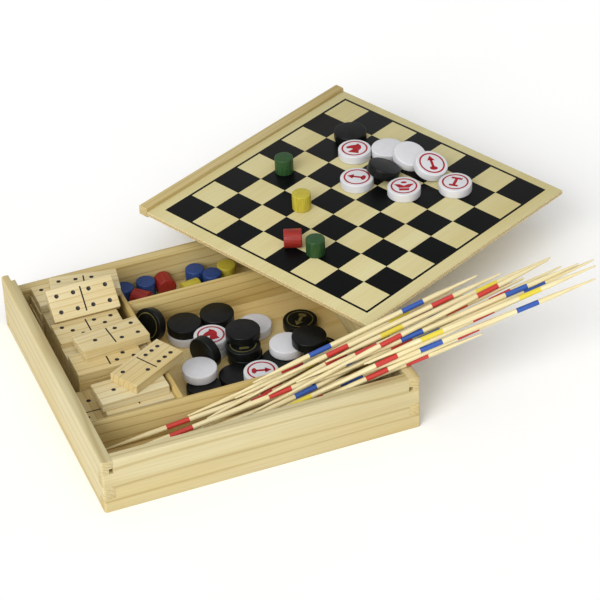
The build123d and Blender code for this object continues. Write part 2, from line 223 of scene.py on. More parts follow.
def solids(node):
    """The separate solids of a node as arrays of corner points in mm, from left to right and bottom to top.

    Corners joined by a triangle share a label: every triangle takes the lowest label of its corners until
    nothing changes any more.
    """
    mesh = NODES[node].data
    mesh.calc_loop_triangles()
    triangles = np.empty(len(mesh.loop_triangles) * 3, int)
    mesh.loop_triangles.foreach_get("vertices", triangles)
    points, index = np.unique(points_of(mesh).round(4), axis=0, return_inverse=True)
    triangles = index.reshape(-1)[triangles].reshape(-1, 3)
    label = np.arange(len(points))
    while True:
        fresh = label.copy()
        np.minimum.at(fresh, triangles.ravel(), np.repeat(label[triangles].min(axis=1), 3))
        if (fresh == label).all():
            break
        label = fresh
    found = [points[label == value] for value in np.unique(label)]
    # height counts a hundredth as much as the way to the right, so it only decides between stacked solids
    return sorted(found, key=lambda cloud: cloud.mean(axis=0) @ [1.0, 0.0, 0.01])


def axes_of(cloud):
    """Centre of a cloud and its three axes as rows, from the largest spread to the smallest."""
    middle = cloud.mean(axis=0)
    rows = np.linalg.svd(cloud - middle, full_matrices=False)[2]
    return middle, rows


def facing(axis, direction):
    """The axis, turned round if it points away from a direction."""
    return axis if np.dot(axis, direction) >= 0 else -axis


print("white men in the tray:", len(solids("white_men")), "and black:", len(solids("black_men")))

# %% [markdown]
# ## Writing meshes
# A piece is worked out as whole arrays: points in mm, faces, the face's material, and for each point its
# place in the piece's own wood, which a material reads as the attribute `wood`. Object coordinates would
# do for one board, but boards run in different directions and loose pieces are tilted. With an attribute,
# one pine material serves them all, and no two pieces show the same grain.

# %% Mesh writer
SHARP = 35.0  # degrees: an edge that turns more than this stays crisp


def join(parts):
    """Points and faces of several parts as one array and one list; a part begins with these two."""
    shift = np.cumsum([0] + [len(part[0]) for part in parts])
    faces = [[corner + s for corner in face] for part, s in zip(parts, shift) for face in part[1]]
    return np.concatenate([part[0] for part in parts]), faces


def write_vectors(mesh, name, vectors):
    """Store one vector for each point of a mesh as a named attribute."""
    layer = mesh.attributes.new(name, "FLOAT_VECTOR", "POINT")
    layer.data.foreach_set("vector", vectors.astype(np.float32).ravel())


def finish_mesh(name, mesh, materials, sharp=SHARP):
    """Give a mesh its materials, shade it smooth up to a sharp angle, and link its object at the origin."""
    index = np.empty(len(mesh.polygons), dtype=np.int32)
    mesh.polygons.foreach_get("material_index", index)
    mesh.materials.clear()
    for material in materials:
        mesh.materials.append(material)
    mesh.polygons.foreach_set("material_index", index)
    mesh.polygons.foreach_set("use_smooth", [True] * len(mesh.polygons))
    mesh.set_sharp_from_angle(angle=math.radians(sharp))
    mesh.validate()
    mesh.update()
    return put(name, mesh)


def write_mesh(name, parts, materials, sharp=SHARP):
    """One mesh object from parts, each (points, faces, material indices, wood coordinates) in mm."""
    points, faces = join(parts)
    mesh = bpy.data.meshes.new(name)
    mesh.from_pydata((points / 1000).tolist(), [], faces)
    mesh.polygons.foreach_set("material_index", [value for part in parts for value in part[2]])
    write_vectors(mesh, "wood", np.concatenate([part[3] for part in parts]))
    return finish_mesh(name, mesh, materials, sharp)


def dress(item, node):
    """Put a piece in place of its node: same body, and the node itself hidden."""
    body = next(name for name, nodes in frame["record"]["behaviour"]["bodies"].items() if node in nodes)
    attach(item, body)
    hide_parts(node)
    return item


# %% [markdown]
# ## Pine
# The tray is planed pine, sanded and left without stain. Pine has wide growth rings: a pale soft band each
# spring and a thin brownish one each summer. A board is a straight slice through those rings, so its face
# shows long streaks and its end shows arcs. One ring pattern in space gives both, as long as each board
# says which way its grain runs. An image would show streaks on the end too, which real wood never does.

# %% Wood material
WAVE_PERIOD = 2 * math.pi / 20  # what the wave texture repeats at, at scale 1
FIBRE = 0.35  # mm, width of one fibre streak; real fibres are finer and wouldn't show
FIBRE_RATE = 1 / FIBRE / 3  # noise cells per mm: one cell is three streaks wide
STRAIGHT = 60.0  # how much slower rings and fibres change along the grain than across it
WANDER = 12.0  # mm, how far the rings wander from side to side
KNOT_RIM = (0.055, 0.1)  # inner and outer radius of a knot, as shares of a cell


def wood_coordinates(tree, stretch, per_mm):
    """The wood attribute as pattern cells: so many per mm across the grain, and stretched along it."""
    place = add(tree, "Attribute", attribute_name="wood").outputs["Vector"]
    return add(tree, "Mapping", place, Scale=(per_mm / stretch, per_mm, per_mm))


def wood_material(name, pale, middle, dark, roughness, ring, end=False, knots=0.0, streaky=1.0):
    """Wood as growth rings round the grain direction, fibre streaks, slow changes of tone, and knots.

    A ring's tone is a sine of the distance from the grain axis. Ring is the mm from one ring to the next,
    knots the number of knots per mm, and streaky says how strongly the fibres show.
    """
    material, tree = blank_material(name)
    bend = add(tree, "TexNoise", wood_coordinates(tree, stretch=9.0, per_mm=0.035), Scale=1.0, Detail=2.0)
    straight = wood_coordinates(tree, stretch=STRAIGHT, per_mm=1.0)
    moved = add(tree, "VectorMath", bend.outputs["Color"], (0.0, WANDER, WANDER), straight,
                operation="MULTIPLY_ADD")
    rings = add(tree, "TexWave", moved, wave_type="RINGS", rings_direction="X", Scale=WAVE_PERIOD / ring,
                Distortion=0.7, Detail=2.0)
    tone = add(tree, "ValToRGB", rings.outputs["Fac"],
               stops=[(0.0, pale), (0.84, pale), (0.95, middle), (1.0, dark)])
    along = wood_coordinates(tree, stretch=1.0 if end else STRAIGHT, per_mm=FIBRE_RATE)
    fibres = add(tree, "TexNoise", along, Scale=1.0, Detail=3.0, Roughness=0.6)
    fine = add(tree, "ValToRGB", fibres, stops=[(0.3, "e9dfd0"), (0.62, "ffffff")])
    grained = add(tree, "Mix", streaky, tone, fine, data_type="RGBA", blend_type="MULTIPLY")
    slow = add(tree, "TexNoise", wood_coordinates(tree, stretch=4.0, per_mm=0.022), Scale=1.0, Detail=1.0)
    patch = add(tree, "ValToRGB", slow, stops=[(0.3, "f4e9cc"), (0.65, "ffffff")])
    colour = add(tree, "Mix", 1.0, grained, patch, data_type="RGBA", blend_type="MULTIPLY")
    if knots:
        cells = add(tree, "TexVoronoi", wood_coordinates(tree, stretch=2.4, per_mm=knots), Scale=1.0)
        spot = add(tree, "ValToRGB", cells.outputs["Distance"],
                   stops=[(0.0, "ffffff"), (KNOT_RIM[0], "ffffff"), (KNOT_RIM[1], "000000")])
        colour = add(tree, "Mix", spot, colour, linear("a87a45"), data_type="RGBA")
    relief = add(tree, "Bump", Strength=0.25, Distance=0.00012, Height=fibres.outputs["Fac"])
    wood = add(tree, "BsdfPrincipled", colour, Roughness=roughness, IOR=1.5, Normal=relief)
    add(tree, "OutputMaterial", wood)
    return material


print("fibre streaks are", FIBRE, "mm wide")

# %% [markdown]
# Three cuts of pine differ only in their tones and rings. One would do, but the parts inside the rim get a
# yellower, closer ringed and darker copy, whose darker tone is painted shade of the box's inside, and sawn
# ends soak up light and look darker and matt.

# %% Pine
# planed and sanded pine, flat sawn: matt, warm yellow, with slightly darker summer rings
PINE = wood_material("planed_pine", "ccc095", "c5b989", "b8a779", 0.55, ring=9.0, knots=0.011, streaky=0.45)
# planed pine for the parts inside the rim: yellower, closer ringed, and darker as painted shade of the box's
# inside
INNER_SHADE_PINE = wood_material("planed_pine_painted_inner_shade", "c8b680", "c0ac74", "ad965f", 0.55, ring=6.0, streaky=0.5)
# sawn pine ends: open pores, no sheen
PINE_END = wood_material("pine_end_grain", "ccbe90", "c4b485", "baa679", 0.75, ring=2.6, end=True)
print("pines:", PINE.name, INNER_SHADE_PINE.name, PINE_END.name)

# %% [markdown]
# ## Boards with eased edges
# No sanded board has a knife edge. Each board is a copy of its solid with doubled points merged, flat
# faces joined, and every edge bevelled. The same bevel draws the fine lines between the fingers at the
# corners, where two boards meet flush. Boards could be built anew from their sizes, but a copy keeps every
# finger and groove where it fits. A face that looks along the grain gets the end-grain material.

# %% Tray and dividers
DOUBLE = 2e-6  # m, points nearer than this are one
FLAT = 2.0  # degrees, faces that turn less than this are one
CORNER = 50.0  # degrees, edges that turn more than this are eased
EASED, FINE = 0.35, 0.2  # mm, width of the bevel on the walls and on thinner boards
ENDWISE = 0.8  # a face is an end when its normal has at least this share along the grain


def evaluated(item):
    """The mesh that an object's modifiers give; the object itself is thrown away."""
    bpy.context.view_layer.update()
    mesh = bpy.data.meshes.new_from_object(item.evaluated_get(bpy.context.evaluated_depsgraph_get()))
    bpy.data.objects.remove(item)
    return mesh


def normals_of(mesh):
    """The direction in which each face of a mesh looks, one per row."""
    normals = np.empty(len(mesh.polygons) * 3)
    mesh.polygons.foreach_get("normal", normals)
    return normals.reshape(-1, 3)


def eased_copy(node, width):
    """A merged and bevelled copy of a node's mesh; width is the bevel's, in mm."""
    mesh = NODES[node].data.copy()
    work = bmesh.new()
    work.from_mesh(mesh)
    bmesh.ops.remove_doubles(work, verts=work.verts, dist=DOUBLE)
    bmesh.ops.dissolve_limit(work, angle_limit=math.radians(FLAT), verts=work.verts, edges=work.edges)
    work.to_mesh(mesh)
    work.free()
    item = put(node + "_work", mesh)
    bevel = item.modifiers.new("eased edges", "BEVEL")
    bevel.width = width / 1000
    bevel.segments = 2
    bevel.limit_method = "ANGLE"
    bevel.angle_limit = math.radians(CORNER)
    return evaluated(item)


def board(node, name, along, up, seed, width=EASED, materials=(PINE, PINE_END)):
    """A wooden board in place of a node: grain runs along one axis, and its heart lies off to one side.

    Wood coordinates are the distances along the grain, across it and up, plus the place in the log.
    """
    mesh = eased_copy(node, width)
    points = points_of(mesh)
    wood = (points - points.mean(axis=0)) @ np.array([along, np.cross(up, along), up]).T
    wood += np.array([137.0 * seed, 31.0 + 9.0 * math.sin(seed), 22.0 + 7.0 * math.cos(2 * seed)])
    write_vectors(mesh, "wood", wood)
    ends = np.abs(normals_of(mesh) @ along) > ENDWISE
    mesh.polygons.foreach_set("material_index", ends.astype(np.int32))
    return dress(finish_mesh(name, mesh, materials), node)


# the parts inside the rim get pine with painted shade, and the usual end grain
INNER = (INNER_SHADE_PINE, PINE_END)
board("left_wall", "tray_left_wall", Y, X, 1)
board("right_wall", "tray_right_wall", Y, X, 2)
board("front_wall", "tray_front_wall", X, Y, 3)
board("back_wall", "tray_back_wall", X, Y, 4, materials=INNER)
board("front_divider", "divider_front", X, Y, 5, FINE, materials=INNER)
board("cross_divider", "divider_cross", Y, X, 6, FINE, materials=INNER)
board("rear_divider", "divider_rear", X, Y, 7, FINE, materials=INNER)

# %% [markdown]
# ## Plywood
# The bottom panel and the lid are plywood: thin veneers glued with their grain crossed. A rotary-cut veneer
# has almost no rings, only long faint fibres. Seen from the side, the middle ply shows its darker end grain
# between two pale ones, and glue lines part them. The bottom panel's sides are hidden in the walls.

# %% Plywood materials and the bottom panel
PLY_TONES = ("dacd9f", "c9b381")  # a ply cut along its grain, and one cut across it
GLUE = "a3875a"
GLUE_ABOVE, GLUE_BELOW = 0.03, 0.02  # where a glue line fades, as shares of the panel's thickness

# rotary-cut birch veneer, sanded: the lid's underside
PLY_FACE = wood_material("birch_veneer", "cdc296", "c7ba8a", "bfae7c", 0.5, ring=11.0)
# the same veneer, warmer and rougher, on the bottom panel, and painted lighter: painted light that reaches
# down into the compartments
PAINTED_LIGHT_FLOOR_PLY = wood_material("birch_veneer_floor_painted_light", "e6d29a", "e2cc92", "dac184", 0.6, ring=16.0, streaky=0.5)


def ply_edge(name, thickness, plies):
    """The side of a plywood panel: plies of equal thickness by height, with every second one darker."""
    material, tree = blank_material(name)
    place = add(tree, "Attribute", attribute_name="wood").outputs["Vector"]
    share = add(tree, "Math", add(tree, "SeparateXYZ", place).outputs["Z"], thickness, operation="DIVIDE")
    stops = []
    for ply in range(plies):
        tone = PLY_TONES[ply % 2]
        stops += [(ply / plies, GLUE), (ply / plies + GLUE_ABOVE, tone),
                  ((ply + 1) / plies - GLUE_BELOW, tone)]
    stripes = add(tree, "ValToRGB", share, stops=stops)
    pores = add(tree, "TexNoise", place, Scale=0.8, Detail=3.0)
    fine = add(tree, "ValToRGB", pores, stops=[(0.35, "d8c8ae"), (0.6, "ffffff")])
    colour = add(tree, "Mix", 1.0, stripes, fine, data_type="RGBA", blend_type="MULTIPLY")
    add(tree, "OutputMaterial", add(tree, "BsdfPrincipled", colour, Roughness=0.7, IOR=1.5))
    return material


# the bottom panel's face is painted lighter, as painted light in the compartments
bottom = board("bottom_panel", "tray_bottom_panel", X, Y, 8, FINE, (PAINTED_LIGHT_FLOOR_PLY, PINE_END))
print("bottom panel:", [round(1000 * side, 1) for side in bottom.dimensions], "mm")

# %% [markdown]
# ## The lid with its board
# The lid is one plywood panel with a pine rail glued along one edge. The rail gives the lid's own
# directions: u runs away from it and v along it. The board is printed on the upper veneer: eight by eight
# squares of 25 mm, black ink straight on the bare wood, inside one thin line.

# %% The lid's own directions
rail_points = solids("lid_rail")[0]
rail_middle, rail_axes = axes_of(rail_points)
panel_points = solids("lid_panel")[0]
LID_V = facing(rail_axes[0], X)
LID_U = facing(np.cross(LID_V, Z), panel_points.mean(axis=0) - rail_middle)
LID_CORNER = (rail_points @ LID_U).min() * LID_U + (rail_points @ LID_V).min() * LID_V
LID_CORNER = LID_CORNER + panel_points[:, 2].min() * Z
print("lid corner", LID_CORNER.round(2), "u", LID_U.round(3), "v", LID_V.round(3))

# %% [markdown]
# The print could be an image, but a formula of u and v stays sharp from any distance. Count u and v in
# squares from the board's first corner. A square is black when their whole parts add up to an even number,
# and the outline lies round them, where the larger distance from the middle is just over four squares.

# %% Printed board
SQUARE = 25.0  # mm
SIDE = 8.0  # squares along one side
MARGIN_U, MARGIN_V = 19.0, 12.9  # mm from the lid's corner to the board's first line
LINE = 2.0  # mm, width of the line round the board


def board_print(name):
    """Bare veneer printed with black squares and an outline; ink is smoother than wood and bluish black."""
    material, tree = blank_material(name)
    place = add(tree, "SeparateXYZ", add(tree, "Attribute", attribute_name="lid").outputs["Vector"])
    steps, outside = [], []
    for axis, margin in (("X", MARGIN_U), ("Y", MARGIN_V)):
        from_line = add(tree, "Math", place.outputs[axis], margin, operation="SUBTRACT")
        squares = add(tree, "Math", from_line, SQUARE, operation="DIVIDE")
        steps.append(add(tree, "Math", squares, operation="FLOOR"))
        # how far outside the board a point is, in squares: below 0 inside
        from_middle = add(tree, "Math", squares, SIDE / 2, operation="SUBTRACT")
        centred = add(tree, "Math", from_middle, operation="ABSOLUTE")
        outside.append(add(tree, "Math", centred, SIDE / 2, operation="SUBTRACT"))
    odd = add(tree, "Math", add(tree, "Math", *steps), 2.0, operation="FLOORED_MODULO")
    out = add(tree, "Math", *outside, operation="MAXIMUM")
    inside = add(tree, "Math", out, 0.0, operation="LESS_THAN")
    even = add(tree, "Math", 1.0, odd, operation="SUBTRACT")
    edge = add(tree, "Math", out, LINE / 2 / SQUARE, LINE / 2 / SQUARE, operation="COMPARE")
    black = add(tree, "Math", inside, even, operation="MULTIPLY")
    ink = add(tree, "Math", black, edge, operation="MAXIMUM")
    streak = add(tree, "TexNoise", wood_coordinates(tree, stretch=80.0, per_mm=1.1), Scale=1.0, Detail=3.0)
    slow = add(tree, "TexNoise", wood_coordinates(tree, stretch=6.0, per_mm=0.03), Scale=1.0, Detail=2.0)
    veneer = add(tree, "ValToRGB", streak, stops=[(0.3, "cac091"), (0.55, "cfc697"), (0.8, "d3ca9d")])
    cloud = add(tree, "ValToRGB", slow, stops=[(0.3, "f5efdf"), (0.65, "ffffff")])
    bare = add(tree, "Mix", 1.0, veneer, cloud, data_type="RGBA", blend_type="MULTIPLY")
    printed = add(tree, "ValToRGB", streak, stops=[(0.3, "050606"), (0.75, "0b0c0d")])
    colour = add(tree, "Mix", ink, bare, printed, data_type="RGBA")
    gloss = add(tree, "Mix", ink, 0.5, 0.38)
    relief = add(tree, "Bump", Strength=0.15, Distance=0.0001, Height=streak.outputs["Fac"])
    printed_veneer = add(tree, "BsdfPrincipled", colour, Roughness=gloss, IOR=1.5, Specular_IOR_Level=0.11,
                         Normal=relief)
    add(tree, "OutputMaterial", printed_veneer)
    return material


BOARD = board_print("printed_birch_veneer")
print("board:", SIDE * SQUARE, "mm wide")

# %% [markdown]
# Both pieces of the lid get their coordinates from u and v, because the lid lies askew. The grain of the
# panel and of the rail runs along v.

# %% Lid panel and rail
LID_PLY = 3.4  # mm, thickness of the panel
LEVEL = 0.9  # a face is top or underside when its normal has at least this share upright

LID_EDGE = ply_edge("plywood_edge", LID_PLY, 3)
# planed pine of the grip rail: closer ringed and browner than the walls
RAIL_PINE = wood_material("planed_pine_rail", "bfae7a", "b8a672", "ae9b68", 0.55, ring=3.4, streaky=0.4)


def lid_piece(node, name, width, materials, seed):
    """A piece of the lid: the panel's top, underside and sides differ, and so do the rail and its ends."""
    mesh = eased_copy(node, width)
    own = (points_of(mesh) - LID_CORNER) @ np.array([LID_U, LID_V, Z]).T
    write_vectors(mesh, "lid", own)
    write_vectors(mesh, "wood", own[:, [1, 0, 2]] + [90.0 * seed, 0.0, 0.0])
    normals = normals_of(mesh)
    index = np.where(normals[:, 2] > LEVEL, 0, np.where(normals[:, 2] < -LEVEL, 1, 2))
    if node == "lid_rail":
        index = np.abs(normals @ LID_V) > ENDWISE
    mesh.polygons.foreach_set("material_index", index.astype(np.int32))
    return dress(finish_mesh(name, mesh, materials), node)


PANEL_EASED, RAIL_EASED = 0.25, 0.3  # mm, widths of their bevels
lid_piece("lid_panel", "lid_panel_board", PANEL_EASED, (BOARD, PLY_FACE, LID_EDGE), 1)
rail = lid_piece("lid_rail", "lid_rail_pine", RAIL_EASED, (RAIL_PINE, PINE_END), 2)
print("faces of the rail:", len(rail.data.polygons))

# %% [markdown]
# ## Dominoes
# A domino here is a small block of pale wood with soft corners. Its pips are drilled as shallow round dents
# and painted black, and a sawn line parts its two halves. Painted spots on a flat face would do from far
# off, but the light that falls into a dent is what the eye looks for close up. So each tile is a rounded
# block from which ball shapes and a small trough are cut, and the cut faces keep the cutter's black paint.

# %% Rounded block and lathe
TILE = (50.0, 25.0, 7.2)  # mm, length, width and thickness of a tile
TILE_EDGE = 0.45  # mm, radius of its edges


def rounded_block(size, radius, steps=3):
    """A block with round edges: on each of six faces, a grid of inner point plus radius times direction.

    The inner point stays within half the size less the radius; the direction leans over by up to 45
    degrees towards the neighbouring faces, with tangents of equal angle steps, and has length one.
    """
    half = np.array(size) / 2 - radius
    lean = np.tan(np.radians(np.linspace(0, 45, steps + 1)))
    tilt = np.concatenate([-lean[::-1], lean])
    side = np.concatenate([-np.ones(steps + 1), np.ones(steps + 1)])
    count = len(tilt)
    grid = np.arange(count * count).reshape(count, count)
    quads = np.stack([grid[:-1, :-1], grid[1:, :-1], grid[1:, 1:], grid[:-1, 1:]], axis=-1).reshape(-1, 4)
    points, faces = [], []
    for axis in range(3):
        for sign in (-1, 1):
            first, second = (axis + 1) % 3, (axis + 2) % 3
            inner = np.zeros((count, count, 3))
            direction = np.zeros((count, count, 3))
            inner[..., axis] = sign * half[axis]
            direction[..., axis] = sign
            inner[..., first] = (side * half[first])[:, None]
            inner[..., second] = (side * half[second])[None, :]
            direction[..., first] = tilt[:, None]
            direction[..., second] = tilt[None, :]
            direction /= np.linalg.norm(direction, axis=-1, keepdims=True)
            faces.append((quads if sign > 0 else quads[:, ::-1]) + len(points) * count * count)
            points.append((inner + radius * direction).reshape(-1, 3))
    points, index = np.unique(np.concatenate(points).round(5), axis=0, return_inverse=True)
    return points, index.reshape(-1)[np.concatenate(faces)]


def lathe(profile, sides):
    """A closed turned shape: each (radius, height) of the profile swings round Z, and its ends are flat."""
    angle = np.linspace(0, 2 * np.pi, sides, endpoint=False)
    radius, height = np.array(profile, float).T
    points = np.stack([radius[:, None] * np.cos(angle), radius[:, None] * np.sin(angle),
                       np.repeat(height[:, None], sides, axis=1)], axis=-1).reshape(-1, 3)
    ring = np.arange(len(profile) * sides).reshape(len(profile), sides)
    turned = np.roll(ring, -1, axis=1)
    walls = np.stack([ring[:-1], turned[:-1], turned[1:], ring[1:]], axis=-1).reshape(-1, 4)
    return points, [*walls.tolist(), ring[0, ::-1].tolist(), ring[-1].tolist()]


block_points, block_faces = rounded_block(TILE, TILE_EDGE)
print("tile:", len(block_points), "points,", len(block_faces), "faces")

# %% [markdown]
# A double-six set has 28 tiles: every pair of numbers from 0 to 6 once. The tiles on top get listed pairs,
# and the rest of the set fills the stacks below.

# %% Pips and the set
PITCH = (6.3, 6.2)  # mm between neighbouring pips, along the tile and across it
PIP = 1.65  # mm, radius of a pip at the face
DENT = 0.8  # mm, depth of a pip
HALF = 12.2  # mm from the tile's middle to the middle of each half
GROOVE = (19.0, 1.2, 0.6)  # mm, length, width and depth of the line across the middle
FOOT = 0.8  # mm, width of the line at its bottom
PROUD = 0.1  # mm by which the line's cutter stands above the face
SPOTS = {0: [], 1: [(0, 0)], 2: [(-1, 1), (1, -1)], 3: [(-1, 1), (0, 0), (1, -1)],
         4: [(-1, -1), (-1, 1), (1, -1), (1, 1)], 5: [(-1, -1), (-1, 1), (0, 0), (1, -1), (1, 1)],
         6: [(-1, -1), (0, -1), (1, -1), (-1, 1), (0, 1), (1, 1)]}
SHOWN = {28: (4, 4), 20: (4, 2), 11: (3, 5), 15: (0, 5), 18: (0, 0), 19: (1, 0), 21: (1, 4), 22: (2, 6),
         4: (2, 5), 7: (0, 3), 23: (1, 5)}

taken = [tuple(sorted(pair)) for pair in SHOWN.values()]
spare = [(low, high) for low in range(7) for high in range(low, 7) if (low, high) not in taken]
pairs = {number: SHOWN.get(number) or spare.pop(0) for number in range(1, 29)}
print("different pairs:", len({tuple(sorted(pair)) for pair in pairs.values()}), "left over:", len(spare))


def cutter(low, high):
    """What is cut out of a tile: a flattened ball for each pip, and a trough across the middle."""
    parts = []
    face = TILE[2] / 2
    bend = np.linspace(-1, 1, 7)[1:-1] * np.pi / 2
    points, faces = lathe([(PIP * math.cos(a), DENT * math.sin(a)) for a in bend], 16)
    for number, middle in ((low, -HALF), (high, HALF)):
        for i, j in SPOTS[number]:
            parts.append((points + [middle + i * PITCH[0], j * PITCH[1], face], faces))
    long, wide, deep = GROOVE
    wedge = np.array([(x * wide / 2, y * long / 2, face + z) for y in (-1, 1)
                      for x, z in ((-1, PROUD), (1, PROUD), (FOOT / 2, -deep), (-FOOT / 2, -deep))])
    sides = [(0, 4, 5, 1), (1, 5, 6, 2), (2, 6, 7, 3), (3, 7, 4, 0)]
    parts.append((wedge, [(0, 1, 2, 3), (7, 6, 5, 4), *sides]))
    return parts


# %% [markdown]
# The wood of a domino is lime or birch: pale, close-grained, with faint streaks along the tile. The paint
# in the dents is a matt black, a little uneven.

# %% Domino materials
# sanded limewood, bare: pale and matt
TILE_WOOD = wood_material("sanded_limewood", "d9cda5", "d3c498", "c7b482", 0.5, ring=5.0, streaky=0.7)
# black paint laid in by hand: matt, with specks of a millimetre
PIP_BLACK, tree = blank_material("black_pip_paint")
place = add(tree, "Attribute", attribute_name="wood").outputs["Vector"]
specks = add(tree, "TexNoise", place, Scale=0.9, Detail=2.0)
paint = add(tree, "ValToRGB", specks, stops=[(0.35, "141312"), (0.7, "2a2622")])
add(tree, "OutputMaterial", add(tree, "BsdfPrincipled", paint, Roughness=0.5))
print("domino materials:", TILE_WOOD.name, "and", PIP_BLACK.name)

# %% [markdown]
# Each tile is cut in its own directions: x along it, y across it and z out of its face. Then it is turned
# and moved to its solid. The exact Boolean solver is slower than the fast one, but it is the one to trust
# with cuts this small.

# %% Cut and place the tiles
TILE_FACES = (-0.2, -0.6, 0.75)  # a tile's printed face looks this way, the front and up


def plain_mesh(name, points, faces, material):
    """A bare mesh object in mm, used while a piece is being cut."""
    mesh = bpy.data.meshes.new(name)
    mesh.from_pydata(points.tolist(), [], [list(face) for face in faces])
    mesh.materials.append(material)
    work = bmesh.new()
    work.from_mesh(mesh)
    bmesh.ops.recalc_face_normals(work, faces=work.faces)
    work.to_mesh(mesh)
    work.free()
    return put(name, mesh)


def tile(number):
    """Cut one tile, then lay it where its solid lies: long axis, width and face from the solid's spread."""
    body = plain_mesh("tile_work", block_points, block_faces, TILE_WOOD)
    tool = plain_mesh("tool_work", *join(cutter(*pairs[number])), PIP_BLACK)
    cut = body.modifiers.new("drill", "BOOLEAN")
    cut.operation = "DIFFERENCE"
    cut.solver = "EXACT"
    cut.object = tool
    cut.material_mode = "TRANSFER"
    mesh = evaluated(body)
    bpy.data.objects.remove(tool)
    own = points_of(mesh, 1.0)
    middle, axes = axes_of(solids(f"domino_{number:02d}")[0])
    face = facing(axes[2], TILE_FACES)
    long = facing(axes[0], (1.0, -0.3, 0.0))
    turn = np.array([long, np.cross(face, long), face])
    mesh.vertices.foreach_set("co", ((own @ turn + middle) / 1000).ravel())
    log = [83.0 * number, 20.0 + 11.0 * math.sin(5.0 * number), 14.0 + 9.0 * math.cos(3.0 * number)]
    write_vectors(mesh, "wood", own + log)
    item = finish_mesh(f"domino_tile_{number:02d}", mesh, list(mesh.materials))
    return dress(item, f"domino_{number:02d}")


tiles = [tile(number) for number in range(1, 29)]
print("faces of tile 28:", len(tiles[27].data.polygons), [m.name for m in tiles[27].data.materials])

# %% [markdown]
# ## Round men
# The men are turned discs with eased rims, sprayed with lacquer: sixteen white and sixteen black. One side
# of each is stamped with a ring and a chess figure, red on white and gold on black, so that the same men
# serve for draughts and chess. Stamped ink has a crisp edge, so the print is real geometry: thin slips of
# ink a twentieth of a millimetre proud of the lacquer. The figures are simple outlines made for this set.

# %% Figures as outlines
def disc_outline(x, y, wide, high, count=24):
    """An ellipse: centre plus half width times cosine and half height times sine."""
    angle = np.linspace(0, 2 * np.pi, count, endpoint=False)
    return np.stack([x + wide * np.cos(angle), y + high * np.sin(angle)], axis=1)


def bar(x0, y0, x1, y1):
    """A rectangle from its lower left to its upper right corner."""
    return [(x0, y0), (x1, y0), (x1, y1), (x0, y1)]


FIGURES = {
    "ring": [],
    "bishop": [disc_outline(0, -0.66, 0.42, 0.24), bar(-0.14, -0.5, 0.14, 0.5),
               [(-0.4, 0.36), (0.4, 0.36), (0.0, 0.98)]],
    "rook": [bar(-0.55, 0.48, 0.55, 0.78), bar(-0.15, -0.5, 0.15, 0.5), bar(-0.45, -0.78, 0.45, -0.48)],
    "queen": [disc_outline(0, 0.62, 0.3, 0.17),
              [(-0.5, -0.32), (0.5, -0.32), (1.0, 0.36), (0.42, 0.3), (0, 0.02), (-0.42, 0.3), (-1.0, 0.36)],
              [(-0.46, -0.8), (0.46, -0.8), (0.54, -0.42), (-0.54, -0.42)]],
    "knight": [[(-0.5, -0.8), (0.62, -0.8), (0.5, -0.35), (0.66, 0.15), (0.5, 0.6), (0.1, 0.92), (0.0, 0.66),
                (-0.45, 0.46), (-0.9, 0.08), (-0.72, -0.2), (-0.35, -0.08), (-0.1, -0.14), (-0.3, -0.45)]],
    "pawn": [disc_outline(0, 0.42, 0.32, 0.32), [(-0.5, -0.7), (0.5, -0.7), (0.16, 0.16), (-0.16, 0.16)]],
}
INK = 0.05  # mm, how far the print stands above the lacquer and reaches into it


def slip(outline, height):
    """A thin closed slip of ink: the outline twice, a little below and above a height, with side walls."""
    count = len(outline)
    low = np.column_stack([outline, np.full(count, height - INK)])
    high = np.column_stack([outline, np.full(count, height + INK)])
    ring = np.arange(count)
    after = np.roll(ring, -1)
    sides = np.stack([ring, after, after + count, ring + count], axis=1)
    return np.concatenate([low, high]), [*sides.tolist(), ring[::-1].tolist(), (ring + count).tolist()]


def ring_slip(inner, outer, height, count=64):
    """A flat ring of ink with a square section, closed on itself."""
    angle = np.linspace(0, 2 * np.pi, count, endpoint=False)
    section = np.array([(inner, -INK), (outer, -INK), (outer, INK), (inner, INK)])
    points = np.stack([section[:, :1] * np.cos(angle), section[:, :1] * np.sin(angle),
                       np.repeat(section[:, 1:] + height, count, axis=1)], axis=-1).reshape(-1, 3)
    grid = np.arange(4 * count).reshape(4, count)
    up, on = np.roll(grid, -1, axis=0), np.roll(grid, -1, axis=1)
    faces = np.stack([grid, on, np.roll(up, -1, axis=1), up], axis=-1).reshape(-1, 4)
    return points, faces.tolist()


print("figures:", ", ".join(FIGURES))

# %% [markdown]
# Lacquer hides the wood, so its colour hardly varies. What shows up close is its surface: the marks of the
# chisel round the turned side, and over them a faint orange peel from the spray. Both are in the bump,
# because dents this shallow never change an outline.

# %% Lacquers and inks
TOOL_STEP = 0.9  # mm between the marks that a chisel leaves round a turned side
TINT_PER_MM, PEEL_PER_MM = 0.18, 0.9  # a real peel is finer and wouldn't show


def lacquer(name, dark, light, roughness, **finish):
    """Lacquer over turned wood: one colour that varies a little, tool marks round it, faint orange peel."""
    material, tree = blank_material(name)
    place = add(tree, "Attribute", attribute_name="wood").outputs["Vector"]
    cloud = add(tree, "TexNoise", place, Scale=TINT_PER_MM, Detail=3.0)
    colour = add(tree, "ValToRGB", cloud, stops=[(0.35, dark), (0.65, light)])
    peel = add(tree, "TexNoise", place, Scale=PEEL_PER_MM, Detail=2.0)
    cuts = add(tree, "TexWave", place, bands_direction="Z", Scale=WAVE_PERIOD / TOOL_STEP, Distortion=1.5,
               Detail=2.0)
    turned = add(tree, "Bump", Strength=0.2, Distance=0.00008, Height=cuts.outputs["Fac"])
    relief = add(tree, "Bump", Strength=0.25, Distance=0.00008, Height=peel.outputs["Fac"], Normal=turned)
    coated = add(tree, "BsdfPrincipled", colour, Roughness=roughness, IOR=1.5, Normal=relief, **finish)
    add(tree, "OutputMaterial", coated)
    return material


